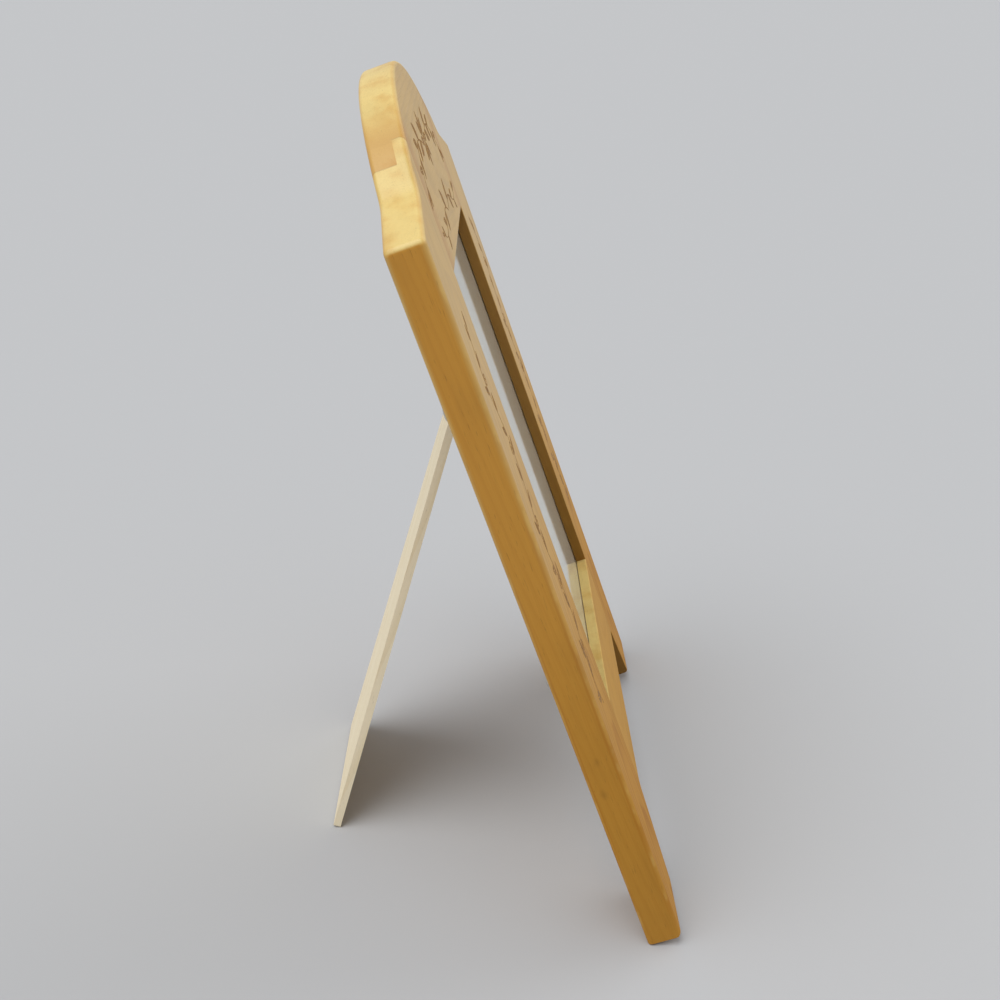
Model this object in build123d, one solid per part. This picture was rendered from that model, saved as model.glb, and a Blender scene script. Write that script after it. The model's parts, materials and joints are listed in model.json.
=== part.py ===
from build123d import *
import math
import os

# Easel back photo frame: an arched wooden frame of lapped boards, with a fold-out leg behind it.
# Every piece is drawn in the frame's front view: X to the right, Y up along the board and Z towards
# the viewer, with the front face at Z zero. One placement then leans the drawing back onto the table,
# so that +Z is up, the front faces -Y and the origin is on the table under the footprint's middle.
# Lengths are in millimetres and angles in degrees. A depth is measured behind the front face.

# Boards of the frame
board_thickness = 12.4
board_width = 201.5
foot_length = 35.0
foot_width = 26.9
foot_fillet = 4.0
bottom_rail_height = 38.7
side_above_window = 20.4
shoulder_width = 27.6
shoulder_rise = 8.4
crest_rise = 41.0
cove_radius = 14.0
corner_round = 2.4
front_round = 2.0
back_round = 1.6
inner_round = 0.5
lean_angle = 19.0

# Window, and the rabbet that runs along the back of the boards behind its lip
window_width = 114.3
window_height = 165.1
lip_thickness = 4.2
photo_overlap = 6.35
rabbet_clearance = 1.6

# Sheets in the rabbet
glass_play = 0.2
glass_thickness = 2.0
insert_thickness = 0.3
backing_thickness = 3.0

# Hinge of the leg
hinge_drop = 52.2
hinge_width = 33.0
leaf_height = 16.0
leaf_thickness = 0.8
knuckle_radius = 1.6
knuckle_count = 3
knuckle_gap = 0.3
knuckle_clearance = 0.3
fold_clearance = 0.2
pin_radius = 0.9
pin_clearance = 0.05
pin_head_radius = 1.4
pin_head_height = 0.5
stop_lug_height = 6.0
stop_gap = 0.05

# Rivets of the hinge
rivet_radius = 1.2
rivet_clearance = 0.05
rivet_head_radius = 2.4
rivet_head_height = 1.0
rivet_spacing = 19.0
rivet_edge = 6.0

# Leg
leg_thickness = 2.9
leg_open_angle = 35.3
leg_top_width = 41.0
leg_foot_width = 71.0
leg_top_gap = 3.5
leg_top_round = 4.0
leg_foot_round = 0.8

# Turn buttons and their screws
button_overlap = 7.0
button_width = 9.0
button_thickness = 1.0
button_clearance = 0.1
button_bore_clearance = 0.08
lower_button_share = 0.22
upper_button_share = 0.78
screw_radius = 1.25
screw_depth = 8.0
pilot_clearance = 0.05
screw_head_radius = 2.7
screw_head_height = 1.4
screw_slot_width = 0.6
screw_slot_depth = 0.7
screw_slot_length_share = 0.6

# Rounding of rivet and screw heads, as a share of their height
dome_share = 0.85

# One overrun for all cuts, and the slack for picking edges by place
overrun = 1.0
pick_slack = 0.01
quarter_turn = 90.0

# Places on the boards
half_width = board_width / 2
half_window = window_width / 2
foot_inner = half_width - foot_width
window_bottom = foot_length + bottom_rail_height
window_top = window_bottom + window_height
side_height = window_top + side_above_window
shoulder_height = side_height + shoulder_rise
board_height = side_height + crest_rise

# Places in the rabbet
photo_width = window_width + 2 * photo_overlap
photo_height = window_height + 2 * photo_overlap
rabbet_half = photo_width / 2 + rabbet_clearance
rabbet_bottom = window_bottom - photo_overlap - rabbet_clearance
rabbet_top = window_top + photo_overlap + rabbet_clearance
sheet_top = rabbet_bottom + photo_height
glass_front = lip_thickness + glass_play
insert_front = glass_front + glass_thickness
filler_front = insert_front + insert_thickness
backing_front = board_thickness - backing_thickness

# Places on the hinge and the folded leg
pin_height = sheet_top - hinge_drop
pin_depth = board_thickness + knuckle_clearance + knuckle_radius
knuckle_pitch = hinge_width / knuckle_count
middle_half = (knuckle_pitch - knuckle_gap) / 2
outer_start = (knuckle_pitch + knuckle_gap) / 2
knuckle_reach = knuckle_radius + knuckle_gap
panel_leaf_back = board_thickness + leaf_thickness
leg_leaf_front = board_thickness + fold_clearance
leg_front = leg_leaf_front + leaf_thickness
leg_back = leg_front + leg_thickness
panel_rivet_height = pin_height + leaf_height - rivet_edge
leg_rivet_height = pin_height - leaf_height + rivet_edge

# Stance on the table: the boards stand on the feet's back edges, the leg on its front edge
lean_sin = math.sin(math.radians(lean_angle))
lean_cos = math.cos(math.radians(lean_angle))
tilt_sin = math.sin(math.radians(leg_open_angle - lean_angle))
tilt_cos = math.cos(math.radians(leg_open_angle - lean_angle))
table_rise = board_thickness * lean_sin
pin_rise = table_rise + pin_height * lean_cos - pin_depth * lean_sin
pin_setback = pin_height * lean_sin + pin_depth * lean_cos
leg_reach = (pin_rise + (leg_front - pin_depth) * tilt_sin) / tilt_cos
footprint_front = front_round * (lean_sin + lean_cos - 1)
footprint_back = pin_setback + leg_reach * tilt_sin + (leg_back - pin_depth) * tilt_cos
footprint_middle = (footprint_front + footprint_back) / 2

# Places of the turn buttons
screw_place = (rabbet_half + half_width) / 2
button_reach = screw_place - rabbet_half + button_overlap
button_front = board_thickness + button_clearance
button_back = button_front + button_thickness
screw_head_front = button_back + button_clearance


def slab(left, right, bottom, top, front, back):
    """Box between two depths behind the front face."""
    middle = Pos((left + right) / 2, (bottom + top) / 2, -(front + back) / 2)
    return middle * Box(right - left, top - bottom, back - front)


def rod(x, y, radius, front, back):
    """Round bar square to the board, between two depths."""
    return Pos(x, y, -(front + back) / 2) * Cylinder(radius, back - front)


def hinge_rod(radius, left, right):
    """Round bar along the hinge's axis."""
    middle = Pos((left + right) / 2, pin_height, -pin_depth)
    return middle * Rot(0, quarter_turn, 0) * Cylinder(radius, right - left)


def domed_head(x, y, radius, height, front):
    """Low round head whose flat side is at the given depth."""
    head = rod(x, y, radius, front, front + height)
    rim = head.edges().group_by(Axis.Z)[0]
    return fillet(rim, min(height, radius) * dome_share)


def corners_at(outline, places):
    """Corners of an outline that lie nearest to the given places."""
    corners = []
    for x, y in places:
        nearest = min(outline.vertices(), key=lambda corner: math.hypot(corner.X - x, corner.Y - y))
        corners.append(nearest)
    return corners


def board_outline():
    """Front view of the frame: tapered feet, straight sides, ogee shoulders and arched crest."""
    arc_foot = half_width - shoulder_width
    sides = Polyline(
        (-arc_foot, shoulder_height),
        (-half_width, side_height),
        (-half_width, 0),
        (-foot_inner, 0),
        (-half_window, foot_length),
        (half_window, foot_length),
        (foot_inner, 0),
        (half_width, 0),
        (half_width, side_height),
        (arc_foot, shoulder_height),
    )
    crest = ThreePointArc((arc_foot, shoulder_height), (0, board_height), (-arc_foot, shoulder_height))
    outline = make_face(sides.edges() + crest.edges())
    coves = corners_at(outline, [(-arc_foot, shoulder_height), (arc_foot, shoulder_height)])
    outline = fillet(coves, cove_radius)
    outers = corners_at(outline, [(-half_width, side_height), (half_width, side_height)])
    outline = fillet(outers, corner_round)
    insides = corners_at(outline, [(-half_window, foot_length), (half_window, foot_length)])
    return fillet(insides, foot_fillet)


def is_inner_edge(edge):
    """True for an edge of the window or of the gap between the feet."""
    place = edge.center()
    around_window = abs(place.X) <= half_window + pick_slack and place.Y <= window_top + pick_slack
    between_feet = abs(place.X) < foot_inner and pick_slack < place.Y <= foot_length + pick_slack
    return around_window or between_feet


def shaped_board():
    """All four boards as one blank: outline, rounded edges, window and rabbet."""
    board = extrude(board_outline(), amount=-board_thickness)
    front_edges = board.edges().group_by(Axis.Z)[-1]
    board = fillet([edge for edge in front_edges if not is_inner_edge(edge)], front_round)
    back_edges = board.edges().group_by(Axis.Z)[0]
    board = fillet([edge for edge in back_edges if edge.center().Y > pick_slack], back_round)
    board -= slab(-half_window, half_window, window_bottom, window_top, -overrun, board_thickness + overrun)
    front_edges = board.edges().group_by(Axis.Z)[-1]
    board = fillet([edge for edge in front_edges if is_inner_edge(edge)], inner_round)
    rabbet_back = board_thickness + overrun
    return board - slab(-rabbet_half, rabbet_half, rabbet_bottom, rabbet_top, lip_thickness, rabbet_back)


def left_stile_space():
    """Space that the left stile takes up: its rabbeted section, from end to end."""
    low = -overrun
    high = board_height + overrun
    body = slab(-half_width - overrun, -rabbet_half, low, high, -overrun, board_thickness + overrun)
    lip = slab(-rabbet_half, -half_window, low, high, -overrun, lip_thickness)
    return body + lip


def screw_places():
    """Name and place of each turn button's screw."""
    places = {}
    level_shares = {"lower": lower_button_share, "upper": upper_button_share}
    for level, share in level_shares.items():
        height = rabbet_bottom + share * photo_height
        places[f"{level}_left"] = (-screw_place, height)
        places[f"{level}_right"] = (screw_place, height)
    return places


def frame_boards():
    """Stiles, and rails lapped into their rabbets; the stiles are drilled for the turn buttons' screws."""
    board = shaped_board()
    left_space = left_stile_space()
    right_space = mirror(left_space, Plane.YZ)
    rails = (board - left_space - right_space).solids().sort_by(Axis.Y)
    stiles = {"left": board & left_space, "right": board & right_space}
    pilot_front = board_thickness - screw_depth - overrun
    for name, (x, y) in screw_places().items():
        pilot = rod(x, y, screw_radius + pilot_clearance, pilot_front, board_thickness + overrun)
        side = name.split("_")[1]
        stiles[side] -= pilot
    return {
        "left_stile": stiles["left"],
        "right_stile": stiles["right"],
        "bottom_rail": rails[0],
        "crest_rail": rails[-1],
    }


def sheet(front, back):
    """Sheet of the photo's size, standing on the rabbet's ledge."""
    return slab(-photo_width / 2, photo_width / 2, rabbet_bottom, sheet_top, front, back)


def rivet_row(y, radius, front, back):
    """Bars at the places of a leaf's rivets."""
    half_spacing = rivet_spacing / 2
    return rod(-half_spacing, y, radius, front, back) + rod(half_spacing, y, radius, front, back)


def rivets(y, front, back):
    """Rivets whose shanks end flush in front and whose heads are behind."""
    half_spacing = rivet_spacing / 2
    heads = Part()
    for x in (-half_spacing, half_spacing):
        heads += domed_head(x, y, rivet_head_radius, rivet_head_height, back)
    return rivet_row(y, rivet_radius, front, back) + heads


def rivet_holes(y):
    """Clearance holes for a leaf's rivets, through everything."""
    return rivet_row(y, rivet_radius + rivet_clearance, -overrun, leg_back + overrun)


def backing_panel():
    """Panel that closes the back and carries the hinge."""
    return sheet(backing_front, board_thickness) - rivet_holes(panel_rivet_height)


def hinge_panel_leaf():
    """Fixed leaf: a plate above the pin with a knuckle at each end."""
    half_hinge = hinge_width / 2
    plate_bottom = pin_height + knuckle_reach
    leaf_top = pin_height + leaf_height
    leaf = slab(-half_hinge, half_hinge, plate_bottom, leaf_top, board_thickness, panel_leaf_back)
    for left, right in ((-half_hinge, -outer_start), (outer_start, half_hinge)):
        leaf += slab(left, right, pin_height, plate_bottom, board_thickness, panel_leaf_back)
        leaf += hinge_rod(knuckle_radius, left, right)
    bore = hinge_rod(pin_radius + pin_clearance, -half_hinge - overrun, half_hinge + overrun)
    return leaf - bore - rivet_holes(panel_rivet_height)


def hinge_pin():
    """Pin with a peened head at each end."""
    half_hinge = hinge_width / 2
    pin = hinge_rod(pin_radius, -half_hinge, half_hinge)
    pin += hinge_rod(pin_head_radius, -half_hinge - pin_head_height, -half_hinge)
    return pin + hinge_rod(pin_head_radius, half_hinge, half_hinge + pin_head_height)


def opened(shape):
    """Turns a piece of the folded leg about the pin to its open stop."""
    turn = Rot(leg_open_angle, 0, 0)
    return Pos(0, pin_height, -pin_depth) * turn * Pos(0, -pin_height, pin_depth) * shape


def hinge_leg_leaf():
    """Moving leaf: a plate below the pin, a middle knuckle and the lug that stops it on the other leaf."""
    half_hinge = hinge_width / 2
    plate_top = pin_height - knuckle_reach
    plate = slab(-half_hinge, half_hinge, pin_height - leaf_height, plate_top, leg_leaf_front, leg_front)
    plate += slab(-middle_half, middle_half, plate_top, pin_height, leg_leaf_front, leg_front)
    leaf = opened(plate - rivet_holes(leg_rivet_height))
    leaf += hinge_rod(knuckle_radius, -middle_half, middle_half)
    lug_front = panel_leaf_back + stop_gap
    lug_top = pin_height + stop_lug_height
    leaf += slab(-middle_half, middle_half, pin_height, lug_top, lug_front, lug_front + leaf_thickness)
    return leaf - hinge_rod(pin_radius + pin_clearance, -half_hinge, half_hinge)


def easel_leg():
    """Thin board hung from the hinge and splayed towards its foot."""
    half_top = leg_top_width / 2
    half_foot = leg_foot_width / 2
    top = pin_height - leg_top_gap
    foot = pin_height - leg_reach
    top_corners = [(-half_top, top), (half_top, top)]
    foot_corners = [(half_foot, foot), (-half_foot, foot)]
    outline = make_face(Polyline(*top_corners, *foot_corners, close=True))
    outline = fillet(corners_at(outline, top_corners), leg_top_round)
    outline = fillet(corners_at(outline, foot_corners), leg_foot_round)
    leg = extrude(Pos(0, 0, -leg_front) * outline, amount=-leg_thickness)
    return opened(leg - rivet_holes(leg_rivet_height))


def turn_button(x, y):
    """Oblong plate on its screw, pointing inwards over the backing."""
    inward = math.copysign(1, -x)
    separation = button_reach - button_width / 2
    plate = Pos(x + inward * separation / 2, y, -button_front) * SlotCenterToCenter(separation, button_width)
    bore = rod(x, y, screw_radius + button_bore_clearance, button_front - overrun, button_back + overrun)
    return extrude(plate, amount=-button_thickness) - bore


def button_screw(x, y):
    """Round-headed screw with a cross slot, driven into the stile."""
    screw = rod(x, y, screw_radius, board_thickness - screw_depth, screw_head_front)
    screw += domed_head(x, y, screw_head_radius, screw_head_height, screw_head_front)
    head_back = screw_head_front + screw_head_height
    slot_front = head_back - screw_slot_depth
    half_slot = screw_slot_width / 2
    half_cross = screw_head_radius * screw_slot_length_share
    across = slab(x - half_cross, x + half_cross, y - half_slot, y + half_slot, slot_front, head_back + overrun)
    along = slab(x - half_slot, x + half_slot, y - half_cross, y + half_cross, slot_front, head_back + overrun)
    return screw - across - along


def all_pieces():
    """Every node's name and shape, in the front view's frame."""
    pieces = frame_boards()
    pieces["glass_pane"] = sheet(glass_front, insert_front)
    pieces["photo_insert"] = sheet(insert_front, filler_front)
    pieces["filler_card"] = sheet(filler_front, backing_front)
    pieces["backing_panel"] = backing_panel()
    pieces["hinge_panel_leaf"] = hinge_panel_leaf()
    pieces["hinge_pin"] = hinge_pin()
    pieces["hinge_panel_rivets"] = rivets(panel_rivet_height, backing_front, panel_leaf_back)
    pieces["hinge_leg_leaf"] = hinge_leg_leaf()
    pieces["hinge_leg_rivets"] = opened(rivets(leg_rivet_height, leg_leaf_front, leg_back))
    pieces["easel_leg"] = easel_leg()
    screws = Part()
    for name, (x, y) in screw_places().items():
        pieces[f"turn_button_{name}"] = turn_button(x, y)
        screws += button_screw(x, y)
    pieces["turn_button_screws"] = screws
    return pieces


os.makedirs("parts", exist_ok=True)
placement = Location((0, -footprint_middle, table_rise), (quarter_turn - lean_angle, 0, 0))
for node, shape in all_pieces().items():
    export_step(placement * shape, f"parts/{node}.step")
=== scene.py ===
import json
import math

import bmesh
import bpy
from bpy.props import FloatProperty, FloatVectorProperty, IntProperty, PointerProperty
from bpy.types import Operator, Panel, PropertyGroup
from mathutils import Matrix, Vector


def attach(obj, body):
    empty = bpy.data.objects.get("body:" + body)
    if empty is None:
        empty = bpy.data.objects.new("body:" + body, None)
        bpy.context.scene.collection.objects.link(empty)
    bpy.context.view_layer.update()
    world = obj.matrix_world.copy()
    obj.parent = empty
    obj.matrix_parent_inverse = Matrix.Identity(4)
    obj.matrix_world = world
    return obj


bl_info = {
    "name": "Easel Back Photo Frame",
    "version": (1, 0, 0),
    "blender": (4, 5, 0),
    "location": "3D View > Sidebar > Photo Frame",
    "description": "Finishes the pieces of an easel back photo frame and sets its stage",
    "category": "Object",
}

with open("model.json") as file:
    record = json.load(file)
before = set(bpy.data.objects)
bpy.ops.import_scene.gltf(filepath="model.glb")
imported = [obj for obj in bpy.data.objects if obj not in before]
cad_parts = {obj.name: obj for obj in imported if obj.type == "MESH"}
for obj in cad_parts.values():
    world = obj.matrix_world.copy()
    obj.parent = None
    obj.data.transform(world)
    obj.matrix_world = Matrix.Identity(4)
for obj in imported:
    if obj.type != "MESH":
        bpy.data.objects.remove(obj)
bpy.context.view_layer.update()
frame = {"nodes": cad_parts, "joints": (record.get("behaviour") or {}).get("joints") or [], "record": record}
mounts = {mount["name"]: mount for mount in frame["record"]["mounts"]}
joints = {joint["name"]: joint for joint in frame["joints"]}

full_turn = 2 * math.pi
half_turn = math.pi
quarter_turn = math.pi / 2


def corners_along(node_name, axes):
    """Lowest and highest corners of a solid along a piece's own axes."""
    inverse = axes.inverted()
    spots = [inverse @ vertex.co for vertex in frame["nodes"][node_name].data.vertices]
    columns = list(zip(*spots))
    return Vector([min(column) for column in columns]), Vector([max(column) for column in columns])


def board_axes():
    """Matrix that takes the front view (across, up the board, towards the viewer) to the leaning board."""
    foot = mounts["left_foot_end"]
    up = -Vector(foot["axis"])
    across = Vector((1, 0, 0))
    viewer = across.cross(up)
    end = Vector(foot["pos_m"])
    turn = Matrix((across, up, viewer)).transposed().to_4x4()
    foot_end = Matrix.Translation(Vector((0, end.y, end.z))) @ turn
    front_face = corners_along("crest_rail", foot_end)[1].z
    return foot_end @ Matrix.Translation(Vector((0, 0, front_face)))


upright = board_axes()
level = upright @ Matrix.Rotation(quarter_turn, 4, "Z")


def leg_axes():
    """The same axes for the open leg, turned about its pin."""
    fold = joints["leg_fold"]
    opening = Matrix.Rotation(-math.radians(fold["range_deg"][0]), 4, Vector(fold["axis"]))
    return Matrix.Translation(Vector(fold["pos_m"])) @ opening @ upright.to_3x3().to_4x4()


# Sizes along the boards, in metres, from the corners of the solids
stile_low, stile_high = corners_along("right_stile", upright)
crest_low, crest_high = corners_along("crest_rail", upright)
half_width = stile_high.x
half_window = stile_low.x
rabbet_half = crest_high.x
window_top = crest_low.y
window_bottom = corners_along("bottom_rail", upright)[1].y
stile_middle = (half_width + half_window) / 2
foot_middle = -mounts["left_foot_end"]["pos_m"][0]

# Sizes that no corner gives: the height of the gap between the feet, and the lip before the glass
foot_length = 0.035
lip_thickness = 0.0042

# Allowance at an edge, so that a face that lies on it counts as inside
edge_margin = 0.0009

# Places in the random field that the boards' figures are cut from
grain_seeds = {
    "left_stile": 0.31,
    "right_stile": 1.73,
    "crest_rail": 2.57,
    "bottom_rail": 3.19,
    "easel_leg": 5.21,
}


class FinishSettings(PropertyGroup):
    """Colours of the frame's finishes."""

    honey_light: FloatVectorProperty(
        name="Honey light",
        description="Lacquered wood between the growth rings",
        subtype="COLOR",
        min=0,
        max=1,
        default=(0.65, 0.312, 0.034),
    )
    honey_dark: FloatVectorProperty(
        name="Honey dark",
        description="Lacquered wood in the growth rings",
        subtype="COLOR",
        min=0,
        max=1,
        default=(0.51, 0.205, 0.013),
    )
    # Painted light on the top outline, painted sheen on the front and back, and worn edges all take this
    # paler tone.
    honey_lit_and_worn: FloatVectorProperty(
        name="Honey sawn edge",
        description="Lacquered wood along the sawn outline and where an edge is worn",
        subtype="COLOR",
        min=0,
        max=1,
        default=(0.86, 0.65, 0.235),
    )
    burnt: FloatVectorProperty(
        name="Burnt wood",
        description="Scorched lines of the ornament",
        subtype="COLOR",
        min=0,
        max=1,
        default=(0.33, 0.158, 0.045),
    )
    scorched: FloatVectorProperty(
        name="Scorched wood",
        description="Paler brown parts of the scorched lines",
        subtype="COLOR",
        min=0,
        max=1,
        default=(0.54, 0.3, 0.09),
    )
    leg_light: FloatVectorProperty(
        name="Leg light",
        description="Raw wood of the leg between the growth rings",
        subtype="COLOR",
        min=0,
        max=1,
        default=(0.95, 0.84, 0.62),
    )
    leg_dark: FloatVectorProperty(
        name="Leg dark",
        description="Raw wood of the leg in the growth rings",
        subtype="COLOR",
        min=0,
        max=1,
        default=(0.85, 0.71, 0.46),
    )
    glass_tint: FloatVectorProperty(
        name="Glass tint",
        description="Colour that the glass gives to what is behind it",
        subtype="COLOR",
        min=0,
        max=1,
        default=(0.985, 0.995, 0.988),
    )
    paper: FloatVectorProperty(
        name="Paper",
        description="Blank sheet behind the glass",
        subtype="COLOR",
        min=0,
        max=1,
        default=(0.65, 0.63, 0.54),
    )
    card: FloatVectorProperty(
        name="Card",
        description="Filler card's grey pulp",
        subtype="COLOR",
        min=0,
        max=1,
        default=(0.33, 0.29, 0.22),
    )
    hardboard: FloatVectorProperty(
        name="Hardboard",
        description="Backing panel's smooth face",
        subtype="COLOR",
        min=0,
        max=1,
        default=(0.25, 0.13, 0.056),
    )
    plated_steel: FloatVectorProperty(
        name="Plated steel",
        description="Hinge, turn buttons, rivets and screws",
        subtype="COLOR",
        min=0,
        max=1,
        default=(0.66, 0.64, 0.60),
    )


class OrnamentSettings(PropertyGroup):
    """Sizes of the burnt ornament."""

    depth: FloatProperty(
        name="Depth",
        description="Thickness of the scorched lines, half of it above the wood",
        unit="LENGTH",
        default=0.0001,
    )
    stem_width: FloatProperty(
        name="Stem width",
        description="Width of a stem",
        unit="LENGTH",
        default=0.0006,
    )
    leaf_length: FloatProperty(
        name="Leaf length",
        description="Length of a full leaf",
        unit="LENGTH",
        default=0.0095,
    )
    leaf_width: FloatProperty(
        name="Leaf width",
        description="Width of a full leaf",
        unit="LENGTH",
        default=0.0038,
    )
    vine_leaves: IntProperty(
        name="Vine leaves",
        description="Leaves along one stile's vine",
        default=17,
    )


class StageSettings(PropertyGroup):
    """Floor, lamps and camera."""

    floor_colour: FloatVectorProperty(
        name="Floor colour",
        description="Plain pale floor",
        subtype="COLOR",
        min=0,
        max=1,
        default=(0.49, 0.495, 0.505),
    )
    backdrop_colour: FloatVectorProperty(
        name="Backdrop colour",
        description="Pale background above the floor",
        subtype="COLOR",
        min=0,
        max=1,
        default=(0.556, 0.565, 0.58),
    )
    sky_colour: FloatVectorProperty(
        name="Sky colour",
        description="Colour of the even light from all round",
        subtype="COLOR",
        min=0,
        max=1,
        default=(0.97, 0.985, 1.0),
    )
    sky_strength: FloatProperty(
        name="Sky strength",
        description="Even light from all round",
        default=0.5,
    )
    key_direction: FloatVectorProperty(
        name="Key direction",
        description="Where the wide soft light comes from, above and behind",
        subtype="DIRECTION",
        default=(-0.25, 0.35, 0.9),
    )
    key_strength: FloatProperty(
        name="Key strength",
        description="Strength of the wide soft light from above and behind",
        default=1.85,
    )
    fill_direction: FloatVectorProperty(
        name="Fill direction",
        description="Where the weaker soft light comes from, at the front right",
        subtype="DIRECTION",
        default=(0.45, -0.72, 0.53),
    )
    fill_strength: FloatProperty(
        name="Fill strength",
        description="Strength of the weaker soft light from the front right",
        default=0.7,
    )
    light_spread: FloatProperty(
        name="Light spread",
        description="How wide the soft lights are",
        subtype="ANGLE",
        default=math.radians(50),
    )
    camera_place: FloatVectorProperty(
        name="Camera place",
        description="Where the camera stands",
        subtype="TRANSLATION",
        default=(-0.42299, 0.00241, 0.31394),
    )
    camera_yaw: FloatProperty(
        name="Camera yaw",
        description="Turn to the left from looking along +X",
        subtype="ANGLE",
        default=math.radians(-0.658),
    )
    camera_pitch: FloatProperty(
        name="Camera pitch",
        description="Tilt downwards",
        subtype="ANGLE",
        default=math.radians(23.739),
    )
    camera_lens: FloatProperty(
        name="Camera lens",
        description="Focal length in millimetres on a 36 mm sensor",
        default=43.05,
    )


def rgba(colour):
    """Colour with an alpha where it has none; a socket is left as it is."""
    if isinstance(colour, bpy.types.NodeSocket):
        return colour
    return (*colour, 1.0) if len(colour) == 3 else colour


def dress(node_name, material):
    """Puts a material on every slot of a solid."""
    for slot in frame["nodes"][node_name].material_slots:
        slot.material = material


class Finish:
    """One node material, built step by step."""

    def __init__(self, name):
        self.material = bpy.data.materials.new(name)
        self.material.use_nodes = True
        self.tree = self.material.node_tree
        self.surface = self.tree.nodes["Principled BSDF"]

    def feed(self, socket, value):
        """Links a socket to another one, or sets its own value."""
        if isinstance(value, bpy.types.NodeSocket):
            self.tree.links.new(value, socket)
        else:
            socket.default_value = value

    def node(self, kind, inputs, output=0, **settings):
        """Adds a node and gives back one of its outputs."""
        made = self.tree.nodes.new("ShaderNode" + kind)
        for name, value in settings.items():
            setattr(made, name, value)
        for key, value in inputs.items():
            self.feed(made.inputs[key], value)
        return made.outputs[output]

    def surface_set(self, **inputs):
        """Sets the surface shader's sockets, with _ for each space in a name."""
        for name, value in inputs.items():
            self.feed(self.surface.inputs[name.replace("_", " ")], value)

    def place(self, axes):
        """Coordinates along a piece's own axes."""
        inverse = axes.inverted()
        raw = self.node("TexCoord", {}, output="Object")
        turn = {"Vector": raw, "Location": inverse.translation, "Rotation": inverse.to_euler()}
        return self.node("Mapping", turn)

    def facing(self, axis):
        """How squarely the surface faces along an axis, from 0 to 1."""
        normal = self.node("TexCoord", {}, output="Normal")
        along = self.node("VectorMath", {0: normal, 1: axis}, output="Value", operation="DOT_PRODUCT")
        return self.math("ABSOLUTE", along)

    def split(self, vector):
        """The three numbers of a vector, by axis."""
        made = self.tree.nodes.new("ShaderNodeSeparateXYZ")
        self.feed(made.inputs[0], vector)
        return made.outputs

    def noise(self, vector, scale, detail=2.0):
        """Soft random field from 0 to 1."""
        return self.node("TexNoise", {"Vector": vector, "Scale": scale, "Detail": detail})

    def stretched(self, vector, scales, detail=2.0):
        """Soft random field with a scale of its own along each axis."""
        scaled = self.node("VectorMath", {0: vector, 1: scales}, operation="MULTIPLY")
        return self.noise(scaled, 1.0, detail)

    def streaked(self, vector, across, along, detail=2.0):
        """Soft random field drawn out along the second axis."""
        return self.stretched(vector, (across, along, across), detail)

    def math(self, operation, first, second=0.0):
        """One sum on numbers or sockets."""
        return self.node("Math", {0: first, 1: second}, operation=operation)

    def product(self, first, *others):
        """Numbers or sockets multiplied together."""
        for other in others:
            first = self.math("MULTIPLY", first, other)
        return first

    def distance(self, first, second):
        """Length of a step made of two numbers at right angles."""
        step = self.node("CombineXYZ", {0: first, 1: second})
        return self.node("VectorMath", {0: step}, output="Value", operation="LENGTH")

    def smooth(self, value, low, high):
        """Smooth step from 0 at low to 1 at high."""
        inputs = {"Value": value, "From Min": low, "From Max": high}
        return self.node("MapRange", inputs, interpolation_type="SMOOTHSTEP")

    def between(self, value, low, high):
        """Spreads a field from 0 to 1 over a range."""
        return self.node("MapRange", {"Value": value, "To Min": low, "To Max": high})

    def mix(self, share, first, second):
        """Colour between two colours."""
        factor_place, first_place, second_place, colour_output = 0, 6, 7, 2
        inputs = {factor_place: share, first_place: rgba(first), second_place: rgba(second)}
        return self.node("Mix", inputs, output=colour_output, data_type="RGBA")

    def shade(self, colour, share, strength):
        """Colour darkened where share is 1."""
        kept = self.math("SUBTRACT", 1.0, self.product(share, strength))
        return self.node("VectorMath", {0: colour, "Scale": kept}, operation="SCALE")

    def bump(self, height, strength, distance):
        """Surface relief from a height field."""
        normal = self.node("Bump", {"Height": height, "Strength": strength, "Distance": distance})
        self.feed(self.surface.inputs["Normal"], normal)


class Grain:
    """Rings, streaks, fibres and pores of a board whose grain runs along the axes' second direction."""

    def __init__(self, finish, axes, seed, heart, ring_spacing):
        spot = finish.place(axes)
        self.place = finish.node("VectorMath", {0: spot, 1: (seed, seed, seed)}, operation="ADD")
        self.rings = self.late_wood(finish, finish.split(spot), heart, ring_spacing)
        self.streaks = finish.streaked(self.place, across=150.0, along=5.0, detail=4.0)
        self.fibres = finish.streaked(self.place, across=2400.0, along=45.0)
        pores = finish.streaked(self.place, across=3300.0, along=190.0, detail=1.0)
        self.pores = finish.smooth(pores, low=0.68, high=0.76)

    def late_wood(self, finish, parts, heart, ring_spacing):
        """Dark outer part of each ring.

        The rings are cones round a line behind the board, so they draw long arches on its face.
        """
        heart_depth = 0.026
        taper_share = 0.07
        warp_reach = 0.006
        across = finish.math("SUBTRACT", parts["X"], heart)
        sunk = finish.math("ADD", parts["Z"], heart_depth)
        depth = finish.math("ADD", sunk, finish.product(parts["Y"], taper_share))
        warp = finish.streaked(self.place, across=38.0, along=5.0, detail=3.0)
        bent = finish.math("ADD", finish.distance(across, depth), finish.product(warp, warp_reach))
        year = finish.math("FRACT", finish.math("DIVIDE", bent, ring_spacing))
        darkening = finish.smooth(year, low=0.4, high=0.9)
        ending = finish.smooth(year, low=1.0, high=0.93)
        return finish.product(darkening, ending)


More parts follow.
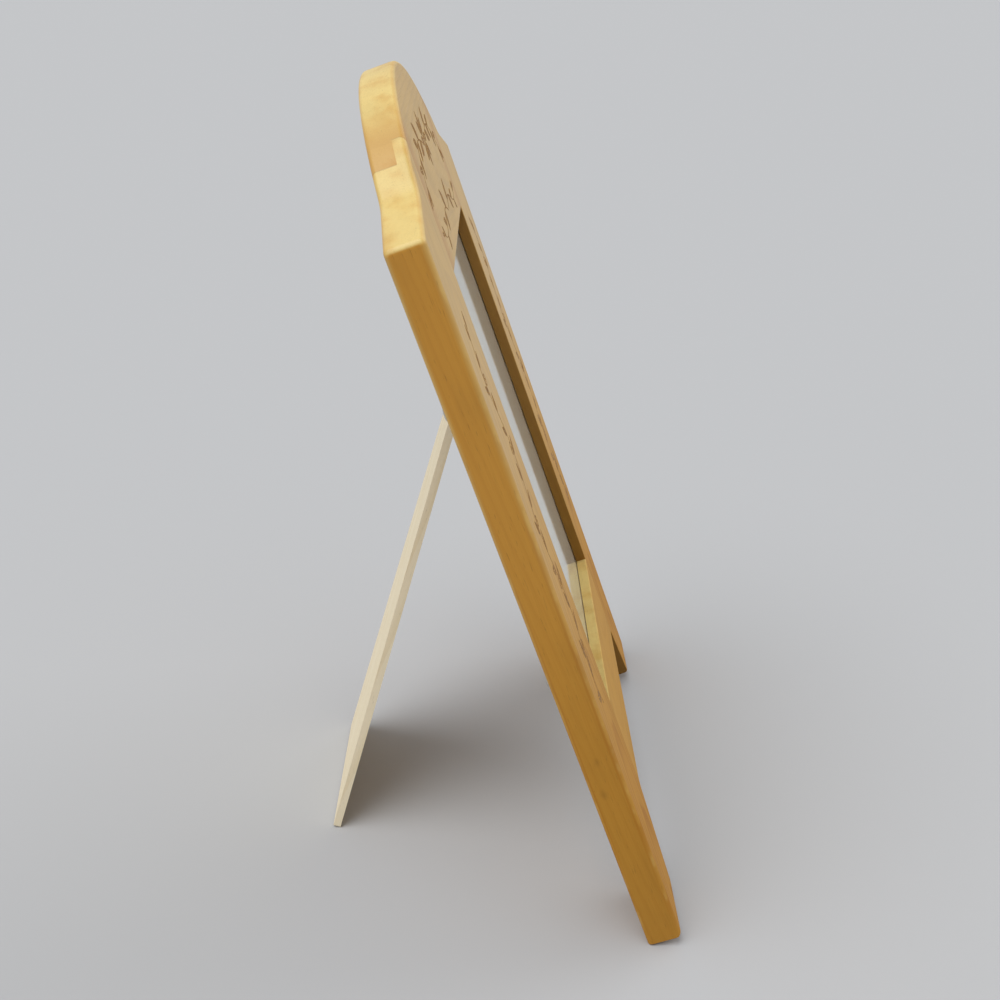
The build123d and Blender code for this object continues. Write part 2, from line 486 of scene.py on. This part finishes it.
class Lacquer(Finish):
    """Honey lacquer over fine-grained wood, with painted light on its top outline, painted sheen on its
    front and back, painted shade towards the feet, along its lower edges and in its recesses, and worn paler
    along its rounded edges.
    """

    def __init__(self, node_name, colours, axes, heart):
        super().__init__("honey_" + node_name)
        ring_spacing = 0.0023
        self.colours = colours
        self.grain = Grain(self, axes, grain_seeds[node_name], heart, ring_spacing)
        self.ragged = self.noise(self.grain.place, scale=120.0, detail=4.0)
        self.board = self.split(self.place(upright))
        self.height = self.board["Y"]
        self.across = self.math("ABSOLUTE", self.board["X"])
        self.on_feet = self.math("LESS_THAN", self.height, foot_length + edge_margin)
        side_axis, rise_axis, front_axis = upright.to_3x3().col
        self.sideways = self.facing(side_axis)
        self.endways = self.facing(rise_axis)
        self.frontways = self.facing(front_axis)

    def coat(self, plainness=0.0, stained_ends=False, knots=()):
        """Lays the tones one over another, painted light and shade among them, sets the gloss and gives back
        the material.
        """
        figure = self.figure(plainness)
        # Mask of painted light on faces across the boards' rise.
        lit_top = self.lit_top_share()
        seams = self.joint_seams()
        colour = self.mix(figure, self.colours.honey_light, self.colours.honey_dark)
        # Painted sheen on the front and back.
        colour = self.paint_front_sheen(colour, plainness)
        # Painted light on the top outline.
        colour = self.paint_top_light(colour, figure, lit_top)
        colour = self.darken_patches(colour)
        # Painted shade towards the feet.
        colour = self.paint_low_shade(colour)
        colour = self.draw_fibres(colour)
        colour = self.paint_edge_shade(colour, lit_top)
        colour = self.wear_edges(colour, lit_top)
        # Painted shade in the recesses.
        colour = self.paint_recess_shade(colour)
        colour = self.shade(colour, seams, strength=0.2)
        if stained_ends:
            colour = self.stain_ends(colour)
        for knot_height, set_back in knots:
            colour = self.draw_knot(colour, knot_height, set_back)
        self.polish(colour, seams)
        return self.material

    def figure(self, plainness):
        """Rings, strongest on the front and back, among soft streaks."""
        edge_share = 0.15
        face_share = 0.6
        streak_share = 0.5
        rings = self.product(self.grain.rings, self.between(self.frontways, edge_share, face_share))
        streaks = self.product(self.grain.streaks, streak_share)
        return self.product(self.math("ADD", rings, streaks), 1.0 - plainness)

    def lit_top_share(self):
        """Share of the painted light on faces across the boards' rise: whole along the top, less on the
        window's edge, none on the feet.
        """
        window_share = 0.9
        above = self.math("GREATER_THAN", self.height, window_top + edge_margin)
        outline = self.between(above, window_share, 1.0)
        clear = self.math("SUBTRACT", 1.0, self.on_feet)
        return self.product(self.smooth(self.endways, low=0.12, high=0.5), outline, clear)

    def joint_seams(self):
        """Thin lines where the rails are lapped into the stiles, stepped behind the window's lip."""
        seam_width = 0.00035
        in_lip = self.math("GREATER_THAN", self.board["Z"], -lip_thickness)
        joint = self.between(in_lip, rabbet_half, half_window)
        gap = self.math("ABSOLUTE", self.math("SUBTRACT", self.across, joint))
        window_middle = (window_bottom + window_top) / 2
        beyond = self.math("ABSOLUTE", self.math("SUBTRACT", self.height, window_middle))
        outside = self.math("GREATER_THAN", beyond, (window_top - window_bottom) / 2)
        return self.product(self.smooth(gap, seam_width, 0.0), outside)

    def paint_front_sheen(self, colour, plainness):
        """Painted sheen, paler on the front and back, more so towards the top."""
        sheen_start = 0.03
        sheen_full = 0.26
        least_share = 0.02
        plain_share = 0.15
        low_share = least_share + plain_share * plainness
        high_share = 0.48
        sheen = self.between(self.smooth(self.height, sheen_start, sheen_full), low_share, high_share)
        return self.mix(self.product(sheen, self.frontways), colour, self.colours.honey_lit_and_worn)

    def paint_top_light(self, colour, figure, lit_top):
        """Painted light on faces across the boards' rise: a paler tone, soaked here and there and finely
        specked.
        """
        figure_share = 0.3
        soaked_share = 0.5
        clouds = self.smooth(self.noise(self.grain.place, scale=110.0), low=0.4, high=0.75)
        soaked = self.math("ADD", clouds, self.product(figure, figure_share))
        soaked = self.product(soaked, soaked_share)
        tone = self.mix(soaked, self.colours.honey_lit_and_worn, self.colours.honey_light)
        specks = self.noise(self.grain.place, scale=2100.0)
        tone = self.shade(tone, self.smooth(specks, low=0.52, high=0.75), strength=0.08)
        return self.mix(lit_top, colour, tone)

    def darken_patches(self, colour):
        """Faint darker patches along the grain."""
        patches = self.streaked(self.grain.place, across=75.0, along=28.0, detail=3.0)
        return self.shade(colour, self.smooth(patches, low=0.45, high=0.72), strength=0.08)

    def paint_low_shade(self, colour):
        """Painted shade, darker towards the feet, more so on the edges than on the front."""
        dark_start = 0.2
        edge_share = 0.17
        face_share = 0.07
        strength = self.between(self.frontways, edge_share, face_share)
        return self.shade(colour, self.smooth(self.height, dark_start, 0.0), strength)

    def draw_fibres(self, colour):
        """Fine fibres and open pores."""
        colour = self.shade(colour, self.grain.fibres, strength=0.12)
        return self.shade(colour, self.grain.pores, strength=0.22)

    def paint_edge_shade(self, colour, lit_top):
        """Painted shade in a brown line where the lower edges turn to the front."""
        shade_top = 0.2
        shade_full_top = 0.1
        shade_full_bottom = 0.06
        shade_bottom = 0.015
        least_share = 0.1
        dark_tone_share = 0.6
        below = self.smooth(self.height, shade_top, shade_full_top)
        above = self.smooth(self.height, shade_bottom, shade_full_bottom)
        band = self.between(self.product(below, above), least_share, 1.0)
        leaving = self.smooth(self.frontways, low=0.03, high=0.2)
        arriving = self.smooth(self.frontways, low=0.62, high=0.3)
        outside_lit_top = self.math("SUBTRACT", 1.0, lit_top)
        edge_shade = self.product(band, leaving, arriving, outside_lit_top)
        colour = self.mix(self.product(edge_shade, dark_tone_share), colour, self.colours.honey_dark)
        return self.shade(colour, edge_shade, strength=0.1)

    def wear_edges(self, colour, lit_top):
        """Rounded edges, with less painted light where the outline turns, and worn pale here and there."""
        # Painted shade on the rounded edges, browner and darker towards the feet.
        unlit_edge_share = 0.3
        worn_share = 0.2
        squared = self.product(self.frontways, self.frontways)
        turning = self.product(squared, self.math("SUBTRACT", 1.0, squared))
        rounded = self.smooth(turning, low=0.08, high=0.25)
        colour = self.mix(self.product(rounded, lit_top, unlit_edge_share), colour, self.colours.honey_light)
        worn = self.product(rounded, self.smooth(self.ragged, low=0.45, high=0.75), worn_share)
        return self.mix(worn, colour, self.colours.honey_lit_and_worn)

    def paint_recess_shade(self, colour):
        """Painted shade on the walls round the window and between the feet."""
        in_window = self.math("LESS_THAN", self.across, half_window + edge_margin)
        inner = self.math("LESS_THAN", self.across, foot_middle)
        recess = self.math("MAXIMUM", in_window, self.product(inner, self.on_feet))
        shaded_walls = self.product(self.smooth(self.sideways, low=0.5, high=0.9), recess)
        return self.shade(colour, shaded_walls, strength=0.47)

    def stain_ends(self, colour):
        """Deeper tone where a rail's ends soaked up more lacquer beside the joints."""
        stain_start = 0.04
        stain_full = 0.058
        dark_tone_share = 0.55
        near_joint = self.smooth(self.across, stain_start, stain_full)
        return self.mix(self.product(near_joint, dark_tone_share), colour, self.colours.honey_dark)

    def draw_knot(self, colour, knot_height, set_back):
        """Faint ragged smudge in the left outer side where a twig grew."""
        smudge_size = 0.0032
        smudge_core = 0.001
        grain_pull_share = 0.55
        ragged_reach = 0.003
        up = self.product(self.math("SUBTRACT", self.height, knot_height), grain_pull_share)
        back = self.math("ADD", self.board["Z"], set_back)
        gap = self.math("ADD", self.distance(up, back), self.product(self.ragged, ragged_reach))
        outer = self.math("LESS_THAN", self.board["X"], smudge_size - half_width)
        smudge = self.product(self.smooth(gap, smudge_size, smudge_core), outer)
        return self.shade(colour, smudge, strength=0.2)

    def polish(self, colour, seams):
        """Satin gloss, duller towards the feet, with fibres, pores and seams that can be felt."""
        dull_start = 0.22
        dull_full = 0.05
        dull_share = 0.55
        fibre_rise = 0.5
        self.surface_set(Base_Color=colour, IOR=1.45, Coat_Weight=0.05, Coat_Roughness=0.25)
        satin = self.between(self.grain.fibres, low=0.34, high=0.48)
        dulled = self.product(self.smooth(self.height, dull_start, dull_full), dull_share)
        self.surface_set(Roughness=self.math("ADD", satin, dulled))
        relief = self.math("SUBTRACT", self.product(self.grain.fibres, fibre_rise), self.grain.pores)
        self.bump(self.math("SUBTRACT", relief, seams), strength=0.2, distance=0.00006)


class PHOTOFRAME_OT_lacquer_boards(Operator):
    """Lacquers the stiles and rails, with the grain along each board"""

    bl_idname = "photoframe.lacquer_boards"
    bl_label = "Lacquer the boards"

    def execute(self, context):
        colours = context.scene.photoframe_finish
        heart_rise = 0.0232
        heart_drop = 0.0157
        crest_heart = window_top + heart_rise
        rail_heart = window_bottom - heart_drop
        knot_places = ((0.0812, 0.0065), (0.0678, 0.0082))
        left = Lacquer("left_stile", colours, upright, -stile_middle)
        right = Lacquer("right_stile", colours, upright, stile_middle)
        crest = Lacquer("crest_rail", colours, level, crest_heart)
        bottom = Lacquer("bottom_rail", colours, level, rail_heart)
        dress("left_stile", left.coat(knots=knot_places))
        dress("right_stile", right.coat())
        dress("crest_rail", crest.coat(stained_ends=True))
        dress("bottom_rail", bottom.coat(plainness=0.65))
        return {"FINISHED"}


class PHOTOFRAME_OT_glaze_window(Operator):
    """Finishes the glass and the sheets behind it"""

    bl_idname = "photoframe.glaze_window"
    bl_label = "Glaze the window"

    def execute(self, context):
        colours = context.scene.photoframe_finish
        glass = Finish("window_glass")
        dust = glass.noise(glass.place(upright), scale=90.0, detail=4.0)
        glass.surface_set(Base_Color=rgba(colours.glass_tint), IOR=1.5, Transmission_Weight=1.0)
        glass.surface_set(Roughness=glass.between(dust, low=0.03, high=0.09))
        self.let_lamps_through(glass)
        dress("glass_pane", glass.material)
        dress("photo_insert", self.pulp("insert_paper", colours.paper, scale=900.0, strength=0.08))
        dress("filler_card", self.pulp("filler_pulp", colours.card, scale=1500.0, strength=0.3))
        return {"FINISHED"}

    def let_lamps_through(self, glass):
        """Lets light from the lamps reach the sheet behind the glass."""
        lamp_ray = glass.node("LightPath", {}, output="Is Shadow Ray")
        clear = glass.node("BsdfTransparent", {})
        factor_place, first_place, second_place = 0, 1, 2
        inputs = {factor_place: lamp_ray, first_place: glass.surface.outputs[0], second_place: clear}
        passed = glass.node("MixShader", inputs)
        glass.feed(glass.tree.nodes["Material Output"].inputs["Surface"], passed)

    def pulp(self, name, colour, scale, strength):
        """Paper or card with a faint fibre mottle."""
        finish = Finish(name)
        place = finish.place(upright)
        mottle = finish.noise(place, scale, detail=4.0)
        clouds = finish.noise(place, scale=25.0)
        tinted = finish.shade(colour, mottle, strength)
        finish.surface_set(Base_Color=finish.shade(tinted, clouds, strength=0.06), Roughness=0.75)
        finish.bump(mottle, strength=0.15, distance=0.00004)
        return finish.material


class PHOTOFRAME_OT_finish_backing(Operator):
    """Finishes the backing panel as smooth hardboard"""

    bl_idname = "photoframe.finish_backing"
    bl_label = "Finish the backing"

    def execute(self, context):
        colours = context.scene.photoframe_finish
        finish = Finish("backing_hardboard")
        place = finish.place(upright)
        chips = finish.noise(place, scale=1300.0, detail=6.0)
        clouds = finish.noise(place, scale=30.0, detail=3.0)
        colour = finish.shade(colours.hardboard, finish.smooth(chips, low=0.4, high=0.75), strength=0.3)
        colour = finish.shade(colour, clouds, strength=0.18)
        finish.surface_set(Base_Color=colour, Roughness=finish.between(chips, low=0.38, high=0.6))
        finish.bump(chips, strength=0.2, distance=0.00006)
        dress("backing_panel", finish.material)
        return {"FINISHED"}


class PHOTOFRAME_OT_finish_leg(Operator):
    """Finishes the leg as raw sanded wood"""

    bl_idname = "photoframe.finish_leg"
    bl_label = "Finish the leg"

    def execute(self, context):
        colours = context.scene.photoframe_finish
        leg_heart = 0.006
        ring_spacing = 0.0024
        ring_share = 0.45
        streak_share = 0.55
        finish = Finish("raw_leg")
        grain = Grain(finish, leg_axes(), grain_seeds["easel_leg"], leg_heart, ring_spacing)
        rings = finish.product(grain.rings, ring_share)
        figure = finish.math("ADD", rings, finish.product(grain.streaks, streak_share))
        colour = finish.mix(figure, colours.leg_light, colours.leg_dark)
        colour = finish.shade(colour, grain.fibres, strength=0.1)
        colour = finish.shade(colour, grain.pores, strength=0.2)
        finish.surface_set(Base_Color=colour, Roughness=finish.between(grain.fibres, low=0.6, high=0.8))
        finish.bump(grain.fibres, strength=0.3, distance=0.00008)
        dress("easel_leg", finish.material)
        return {"FINISHED"}


class PHOTOFRAME_OT_plate_hardware(Operator):
    """Plates the hinge, rivets, turn buttons and screws"""

    bl_idname = "photoframe.plate_hardware"
    bl_label = "Plate the hardware"

    def execute(self, context):
        colours = context.scene.photoframe_finish
        brush_scales = (180.0, 5200.0, 5200.0)
        finish = Finish("plated_steel")
        place = finish.place(upright)
        brushed = finish.stretched(place, brush_scales, detail=3.0)
        tarnish = finish.smooth(finish.noise(place, scale=260.0, detail=4.0), low=0.5, high=0.8)
        colour = finish.shade(colours.plated_steel, tarnish, strength=0.25)
        colour = finish.shade(colour, brushed, strength=0.12)
        finish.surface_set(Base_Color=colour, Metallic=1.0)
        finish.surface_set(Roughness=finish.between(brushed, low=0.24, high=0.42))
        finish.bump(brushed, strength=0.15, distance=0.00003)
        for node_name in frame["nodes"]:
            if node_name.startswith(("hinge_", "turn_button_")):
                dress(node_name, finish.material)
        return {"FINISHED"}


def heading(path, share):
    """Angle at which a path runs at a share of its length."""
    nudge_share = 0.004
    along = path(min(share + nudge_share, 1.0)) - path(share - nudge_share)
    return math.atan2(along.y, along.x)


class Ornament:
    """Thin scorched shapes on the boards' front face, gathered in one mesh."""

    def __init__(self, settings):
        self.settings = settings
        self.mesh = bmesh.new()

    def strip(self, spine, lows, highs):
        """Closed strip between two offsets to the left of a line of points."""
        rise = self.settings.depth / 2
        rows = []
        for index, point in enumerate(spine):
            before = spine[max(index - 1, 0)]
            after = spine[min(index + 1, len(spine) - 1)]
            along = (after - before).normalized()
            left = Vector((-along.y, along.x))
            low = point + left * lows[index]
            high = point + left * highs[index]
            section = ((low, rise), (high, rise), (high, -rise), (low, -rise))
            rows.append([self.mesh.verts.new((spot.x, spot.y, lift)) for spot, lift in section])
        for first, second in zip(rows, rows[1:]):
            for corner in range(len(first)):
                following = (corner + 1) % len(first)
                self.mesh.faces.new((first[corner], first[following], second[following], second[corner]))
        self.mesh.faces.new(rows[0])
        self.mesh.faces.new(rows[-1])

    def stem(self, spine):
        """Line that thins towards its end."""
        tip_share = 0.35
        last = len(spine) - 1
        halves = []
        for index in range(last + 1):
            halves.append(self.settings.stem_width / 2 * (1 + (tip_share - 1) * index / last))
        self.strip(spine, [-half for half in halves], halves)

    def leaf(self, root, angle, size_share=1.0, bend_share=0.12, round_share=0.8):
        """Pointed leaf of two half blades with a bare vein between them."""
        steps = 14
        tip_width_share = 0.03
        vein_share = 0.09
        length = self.settings.leaf_length * size_share
        width = self.settings.leaf_width * size_share
        along = Vector((math.cos(angle), math.sin(angle)))
        left = Vector((-along.y, along.x))
        spine = []
        blade = []
        for step in range(steps + 1):
            share = step / steps
            spine.append(root + along * length * share + left * length * bend_share * share ** 2)
            swell = math.sin(half_turn * share ** round_share)
            blade.append(width / 2 * max(swell, tip_width_share))
        vein = width * vein_share / 2
        self.strip(spine, [vein] * len(spine), [vein + half for half in blade])
        self.strip(spine, [-vein - half for half in blade], [-vein] * len(spine))

    def dot(self, middle, radius):
        """Round middle of a flower."""
        steps = 12
        end_share = 0.08
        spine = []
        halves = []
        for step in range(steps + 1):
            angle = half_turn * step / steps
            spine.append(middle + Vector((-radius * math.cos(angle), 0)))
            halves.append(radius * max(math.sin(angle), end_share))
        self.strip(spine, [-half for half in halves], halves)

    def tendril(self, root, angle, size, hand):
        """Curl that winds inwards."""
        steps = 36
        turns = 1.4
        shrink_share = 0.965
        reach = size * full_turn / steps
        spine = [root]
        for step in range(steps):
            angle += hand * full_turn * turns / steps
            spine.append(spine[-1] + Vector((math.cos(angle), math.sin(angle))) * reach)
            reach *= shrink_share
        self.stem(spine)

    def sprig(self, path, leaf_count, hand, tip_share):
        """Stem along a path, with leaves to its left and right by turns and smaller towards the tip."""
        steps = 96
        splay = math.radians(48)
        start_share = 0.6
        bend_share = 0.16
        self.stem([path(step / steps) for step in range(steps + 1)])
        for number in range(leaf_count):
            share = (number + start_share) / leaf_count
            side = hand if number % 2 else -hand
            size_share = 1.0 + (tip_share - 1.0) * share
            self.leaf(path(share), heading(path, share) + side * splay, size_share, -side * bend_share)
        self.leaf(path(1.0), heading(path, 1.0), tip_share)

    def place(self, name, material):
        """Lays the shapes on the boards' front face as one piece."""
        bmesh.ops.recalc_face_normals(self.mesh, faces=self.mesh.faces)
        data = bpy.data.meshes.new(name)
        self.mesh.transform(upright)
        self.mesh.to_mesh(data)
        self.mesh.free()
        data.materials.append(material)
        piece = bpy.data.objects.new(name, data)
        bpy.context.scene.collection.objects.link(piece)
        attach(piece, "frame")


class PHOTOFRAME_OT_burn_ornament(Operator):
    """Burns a leafy vine into each stile and sprigs into the crest rail"""

    bl_idname = "photoframe.burn_ornament"
    bl_label = "Burn the ornament"

    def execute(self, context):
        settings = context.scene.photoframe_ornament
        scorch = self.scorch(context.scene.photoframe_finish)
        for name, hand in (("burnt_vine_left", -1), ("burnt_vine_right", 1)):
            vine = Ornament(settings)
            self.draw_vine(vine, settings.vine_leaves, hand)
            vine.place(name, scorch)
        flower_rise = 0.0347
        flower = Vector((0, window_top + flower_rise))
        crest = Ornament(settings)
        self.draw_flower(crest, flower)
        for hand in (-1, 1):
            self.draw_sprigs(crest, flower, hand)
        crest.place("burnt_sprig_crest", scorch)
        return {"FINISHED"}

    def scorch(self, colours):
        """Scorched wood, from mid brown to dark brown."""
        finish = Finish("scorched_wood")
        place = finish.place(upright)
        depth = finish.noise(place, scale=900.0, detail=3.0)
        fibres = finish.streaked(place, across=2600.0, along=60.0)
        colour = finish.mix(finish.smooth(depth, low=0.35, high=0.7), colours.burnt, colours.scorched)
        finish.surface_set(Base_Color=finish.shade(colour, fibres, strength=0.3), Specular_IOR_Level=0.15)
        finish.surface_set(Roughness=finish.between(depth, low=0.55, high=0.8))
        finish.bump(fibres, strength=0.3, distance=0.00005)
        return finish.material

    def draw_vine(self, vine, leaf_count, hand):
        """Waving stem up the middle of a stile, with a curl beside every third leaf."""
        root_height = window_bottom + 0.0143
        tip_height = window_top - 0.0128
        sway = 0.0042
        waves = 2.5
        tip_share = 0.6
        leaf_step = 3
        curl_lead = 2.1
        curl_size = 0.0036
        curl_splay = math.radians(25)

        def path(share):
            across = hand * (stile_middle + sway * math.sin(full_turn * waves * share))
            return Vector((across, root_height + (tip_height - root_height) * share))

        vine.sprig(path, leaf_count, hand, tip_share)
        for number in range(1, leaf_count - leaf_step, leaf_step):
            share = (number + curl_lead) / leaf_count
            side = hand if number % 2 else -hand
            vine.tendril(path(share), heading(path, share) + side * curl_splay, curl_size, side)

    def draw_flower(self, crest, flower):
        """Flower of pointed petals in the middle of the crest."""
        petals = 8
        petal_start = 0.0018
        petal_share = 0.8
        petal_round_share = 1.15
        middle_radius = 0.0012
        for number in range(petals):
            angle = quarter_turn + full_turn * number / petals
            root = flower + Vector((math.cos(angle), math.sin(angle))) * petal_start
            crest.leaf(root, angle, petal_share, 0.0, petal_round_share)
        crest.dot(flower, middle_radius)

    def draw_sprigs(self, crest, flower, hand):
        """Leafy arch beside the flower, and a thinner flourish below it."""
        arch_start = 0.0105
        arch_length = 0.039
        arch_rise = 0.004
        arch_fall = 0.011
        arch_leaves = 7
        arch_tip_share = 0.65
        flourish_start = 0.002
        flourish_length = 0.044
        flourish_height = window_top + 0.0097
        flourish_sway = 0.0026
        flourish_leaves = 5
        flourish_tip_share = 0.45

        def arch(share):
            rise = arch_rise * math.sin(half_turn * share) - arch_fall * share ** 2
            return Vector((hand * (arch_start + arch_length * share), flower.y + rise))

        def flourish(share):
            rise = flourish_sway * math.sin(full_turn * share)
            return Vector((hand * (flourish_start + flourish_length * share), flourish_height + rise))

        crest.sprig(arch, arch_leaves, hand, arch_tip_share)
        crest.sprig(flourish, flourish_leaves, -hand, flourish_tip_share)


class PHOTOFRAME_OT_set_stage(Operator):
    """Lays the floor, hangs the lamps and sets up the camera"""

    bl_idname = "photoframe.set_stage"
    bl_label = "Set the stage"

    def execute(self, context):
        settings = context.scene.photoframe_stage
        self.lay_floor(settings)
        spread = settings.light_spread
        self.hang_light("key_light", settings.key_direction, settings.key_strength, spread)
        self.hang_light("fill_light", settings.fill_direction, settings.fill_strength, spread)
        self.light_sky(context.scene, settings)
        self.set_camera(context.scene, settings)
        context.scene.view_settings.view_transform = "Standard"
        return {"FINISHED"}

    def lay_floor(self, settings):
        """Large pale plane."""
        reach = 60.0
        mesh = bpy.data.meshes.new("floor")
        corners = [(-reach, -reach, 0), (reach, -reach, 0), (reach, reach, 0), (-reach, reach, 0)]
        mesh.from_pydata(corners, [], [(0, 1, 2, 3)])
        floor = bpy.data.objects.new("floor", mesh)
        bpy.context.scene.collection.objects.link(floor)
        finish = Finish("floor_paint")
        finish.surface_set(Base_Color=rgba(settings.floor_colour), Roughness=0.8, Specular_IOR_Level=0.0)
        mesh.materials.append(finish.material)

    def hang_light(self, name, source, strength, spread):
        """Wide soft light from one direction."""
        lamp = bpy.data.lights.new(name, "SUN")
        lamp.energy = strength
        lamp.angle = spread
        holder = bpy.data.objects.new(name, lamp)
        holder.rotation_mode = "QUATERNION"
        holder.rotation_quaternion = (-Vector(source)).to_track_quat("-Z", "Y")
        bpy.context.scene.collection.objects.link(holder)

    def light_sky(self, scene, settings):
        """Even light from all round, and a pale backdrop where the camera, gloss and glass look."""
        world = bpy.data.worlds.new("studio_sky")
        world.use_nodes = True
        tree = world.node_tree
        sky = tree.nodes["Background"]
        sky.inputs["Color"].default_value = rgba(settings.sky_colour)
        sky.inputs["Strength"].default_value = settings.sky_strength
        backdrop = tree.nodes.new("ShaderNodeBackground")
        backdrop.inputs["Color"].default_value = rgba(settings.backdrop_colour)
        rays = tree.nodes.new("ShaderNodeLightPath")
        seen = rays.outputs["Is Camera Ray"]
        for kind in ("Is Glossy Ray", "Is Transmission Ray"):
            either = tree.nodes.new("ShaderNodeMath")
            either.operation = "MAXIMUM"
            tree.links.new(seen, either.inputs[0])
            tree.links.new(rays.outputs[kind], either.inputs[1])
            seen = either.outputs[0]
        choice = tree.nodes.new("ShaderNodeMixShader")
        tree.links.new(seen, choice.inputs[0])
        tree.links.new(sky.outputs[0], choice.inputs[1])
        tree.links.new(backdrop.outputs[0], choice.inputs[2])
        tree.links.new(choice.outputs[0], tree.nodes["World Output"].inputs["Surface"])
        scene.world = world

    def set_camera(self, scene, settings):
        """Camera at the photograph's place and angle."""
        near_limit = 0.01
        flat_share = math.cos(settings.camera_pitch)
        forward = Vector((
            flat_share * math.cos(settings.camera_yaw),
            flat_share * math.sin(settings.camera_yaw),
            -math.sin(settings.camera_pitch),
        ))
        data = bpy.data.cameras.new("camera")
        data.lens = settings.camera_lens
        data.clip_start = near_limit
        camera = bpy.data.objects.new("camera", data)
        camera.location = settings.camera_place
        camera.rotation_mode = "QUATERNION"
        camera.rotation_quaternion = forward.to_track_quat("-Z", "Y")
        scene.collection.objects.link(camera)
        scene.camera = camera


class PHOTOFRAME_PT_steps(Panel):
    """Lists the steps of the finish"""

    bl_idname = "PHOTOFRAME_PT_steps"
    bl_label = "Photo Frame"
    bl_space_type = "VIEW_3D"
    bl_region_type = "UI"
    bl_category = "Photo Frame"

    def draw(self, context):
        for step in steps:
            self.layout.operator(step.bl_idname)


steps = (
    PHOTOFRAME_OT_lacquer_boards,
    PHOTOFRAME_OT_glaze_window,
    PHOTOFRAME_OT_finish_backing,
    PHOTOFRAME_OT_finish_leg,
    PHOTOFRAME_OT_plate_hardware,
    PHOTOFRAME_OT_burn_ornament,
    PHOTOFRAME_OT_set_stage,
)
settings_groups = {
    "photoframe_finish": FinishSettings,
    "photoframe_ornament": OrnamentSettings,
    "photoframe_stage": StageSettings,
}


def register():
    for name, group in settings_groups.items():
        bpy.utils.register_class(group)
        setattr(bpy.types.Scene, name, PointerProperty(type=group))
    for step in steps:
        bpy.utils.register_class(step)
    bpy.utils.register_class(PHOTOFRAME_PT_steps)


def unregister():
    bpy.utils.unregister_class(PHOTOFRAME_PT_steps)
    for step in reversed(steps):
        bpy.utils.unregister_class(step)
    for name, group in settings_groups.items():
        delattr(bpy.types.Scene, name)
        bpy.utils.unregister_class(group)


def main():
    register()
    bpy.ops.photoframe.lacquer_boards()
    bpy.ops.photoframe.glaze_window()
    bpy.ops.photoframe.finish_backing()
    bpy.ops.photoframe.finish_leg()
    bpy.ops.photoframe.plate_hardware()
    bpy.ops.photoframe.burn_ornament()
    bpy.ops.photoframe.set_stage()


if __name__ == "__main__":
    main()
